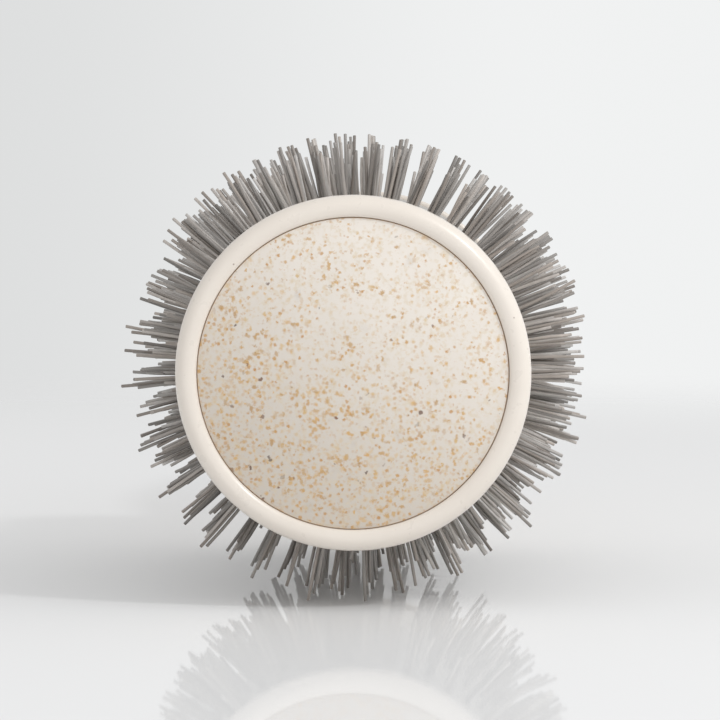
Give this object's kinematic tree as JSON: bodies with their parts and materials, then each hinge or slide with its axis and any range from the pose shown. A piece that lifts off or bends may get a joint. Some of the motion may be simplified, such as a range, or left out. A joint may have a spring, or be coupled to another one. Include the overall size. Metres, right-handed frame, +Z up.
{
  "type": "round barrel brush",
  "caption": "Round hair brush with a wide perforated barrel, rings of nylon bristle tufts, a speckled front cap in a cream ring, and a straight handle with a hanging eye.",
  "frame": {"origin": "on the surface that the brush lies on, under the middle of its length and of its width", "axes": "+Z up; +Y along the brush axis from the front cap to the handle's end; the front cap faces -Y; +X to the right when the cap is looked at along +Y"},
  "size_m": [0.0728, 0.2452, 0.0728],
  "materials": {
    "cream_plastic": "glossy warm cream plastic with rare fine specks",
    "speckled_plastic": "satin off-white plastic filled with tan and brown straw flecks",
    "ceramic_coating": "satin warm grey ceramic coating on thin aluminium",
    "bristle_nylon": "satin taupe grey nylon filament",
    "inner_plastic": "matt natural moulded plastic",
    "steel": "zinc-plated steel"
  },
  "bodies": {
    "root": {"front_ring": "cream_plastic", "cap_disc": "speckled_plastic", "front_hub": "inner_plastic", "tie_screw": "steel", "tie_washer": "steel", "barrel_tube": "ceramic_coating", "core": "inner_plastic", "rear_hub": "inner_plastic", "rear_collar": "cream_plastic", "neck_insert": "inner_plastic", "captive_nut": "steel", "handle_body": "speckled_plastic", "hang_plug": "cream_plastic", "bristle_strip_01": "bristle_nylon", "bristle_strip_02": "bristle_nylon", "bristle_strip_03": "bristle_nylon", "bristle_strip_04": "bristle_nylon", "bristle_strip_05": "bristle_nylon", "bristle_strip_06": "bristle_nylon", "bristle_strip_07": "bristle_nylon", "bristle_strip_08": "bristle_nylon", "bristle_strip_09": "bristle_nylon", "bristle_strip_10": "bristle_nylon", "bristle_strip_11": "bristle_nylon", "bristle_strip_12": "bristle_nylon", "bristle_strip_13": "bristle_nylon", "bristle_strip_14": "bristle_nylon", "bristle_strip_15": "bristle_nylon", "bristle_strip_16": "bristle_nylon", "bristle_strip_17": "bristle_nylon", "bristle_strip_18": "bristle_nylon", "bristle_strip_19": "bristle_nylon", "bristle_strip_20": "bristle_nylon", "bristle_strip_21": "bristle_nylon", "bristle_strip_22": "bristle_nylon", "bristle_strip_23": "bristle_nylon", "bristle_strip_24": "bristle_nylon"}
  },
  "joints": []
}
